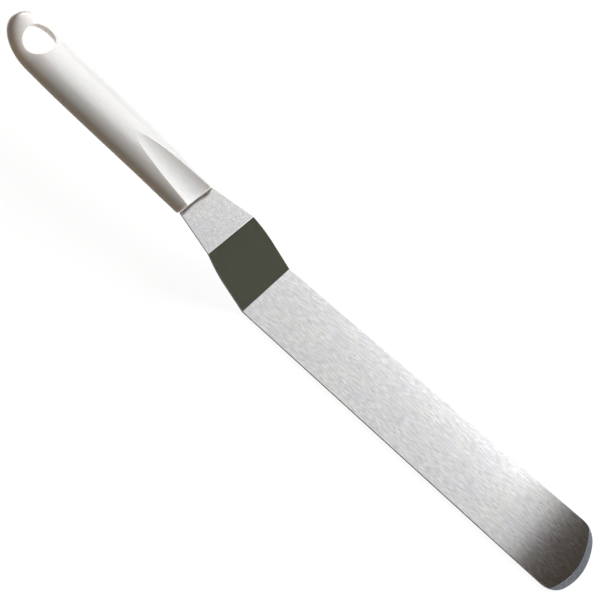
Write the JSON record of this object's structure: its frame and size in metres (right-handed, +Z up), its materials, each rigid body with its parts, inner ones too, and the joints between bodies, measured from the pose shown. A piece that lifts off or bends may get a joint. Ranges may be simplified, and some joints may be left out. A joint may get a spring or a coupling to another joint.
{
  "type": "offset spatula",
  "caption": "Offset spatula: long flat steel blade with a rounded, bevelled tip and a cranked shank, in a hollow white plastic handle with a thumb scoop and a hang hole.",
  "frame": {"origin": "under the middle of the whole length, on the surface that the flat blade rests on", "axes": "+X along the blade towards its tip, +Y across the blade, +Z up from the surface"},
  "size_m": [0.3812, 0.0394, 0.0484],
  "materials": {
    "blade_steel": "finely brushed along its length",
    "carrier_plastic": "matte",
    "handle_plastic": "gloss"
  },
  "bodies": {
    "root": {"blade": "blade_steel", "tang_carrier": "carrier_plastic", "handle": "handle_plastic"}
  },
  "joints": []
}
